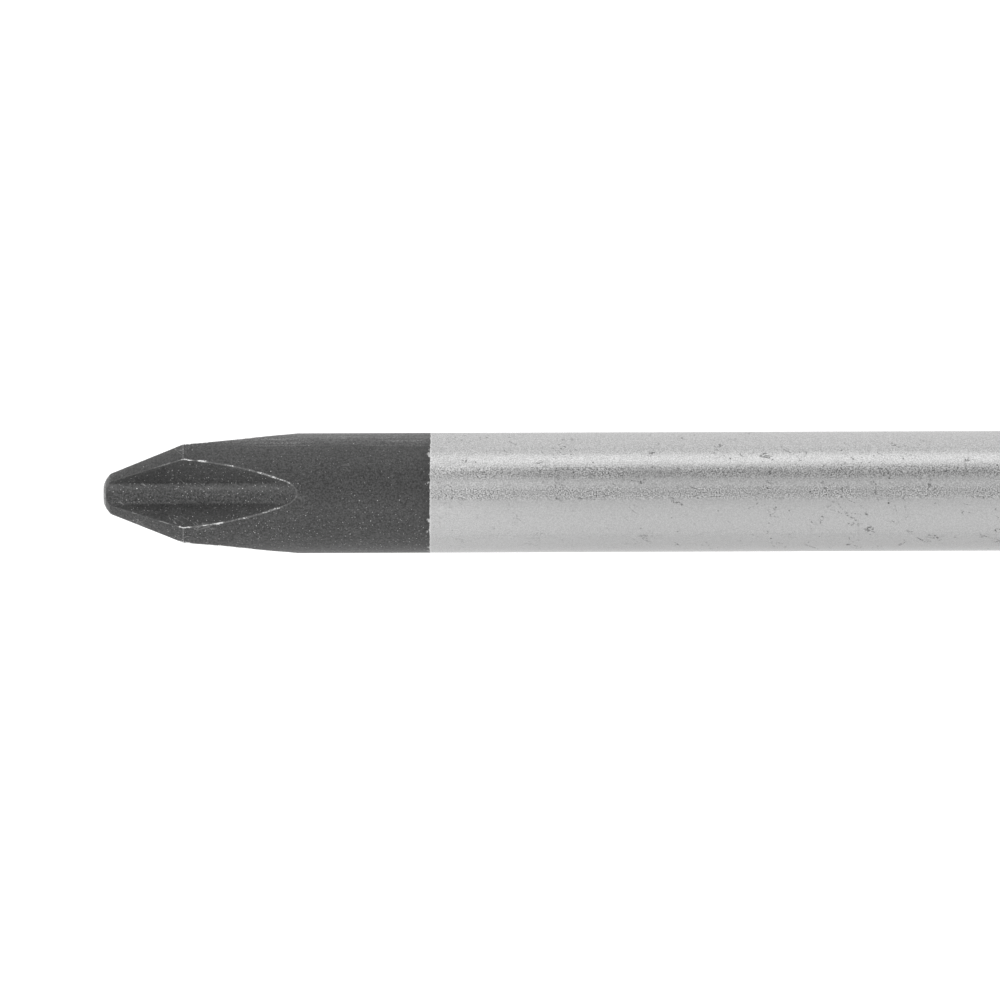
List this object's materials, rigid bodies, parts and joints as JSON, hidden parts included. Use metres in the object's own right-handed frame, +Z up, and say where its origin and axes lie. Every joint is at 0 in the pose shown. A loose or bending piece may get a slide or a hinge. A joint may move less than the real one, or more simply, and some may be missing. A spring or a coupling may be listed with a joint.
{
  "type": "insulated screwdriver",
  "caption": "Cross-tip screwdriver with a bare round satin steel blade, a blackened tip and an insulating handle with a guard, soft grips and a hanging hole.",
  "frame": {"origin": "middle of the tool's box at the height of the surface it lies on, under its axis", "axes": "+X along the axis from the tip to the end of the handle, +Z up from the surface that the guard lies on, +Y across"},
  "size_m": [0.214, 0.0362, 0.033],
  "materials": {
    "blade_steel": "satin plated, blackened over the first 16 mm of the tip",
    "core_yellow": "moulded, fine grain",
    "shell_red": "moulded, fine grain",
    "grip_black": "soft moulded, textured",
    "badge_dark": "moulded disc with a plain raised cross"
  },
  "bodies": {
    "root": {"blade": "blade_steel", "inner_sleeve": "core_yellow", "outer_sleeve": "shell_red", "guard": "shell_red", "handle_core": "core_yellow", "finger_grip": "grip_black", "shell_ring": "core_yellow", "handle_shell": "shell_red", "grip_pad_1": "grip_black", "grip_pad_2": "grip_black", "grip_pad_3": "grip_black", "grip_pad_4": "grip_black", "grip_pad_5": "grip_black", "grip_pad_6": "grip_black", "end_cap": "core_yellow", "cap_badge": "badge_dark"}
  },
  "joints": []
}
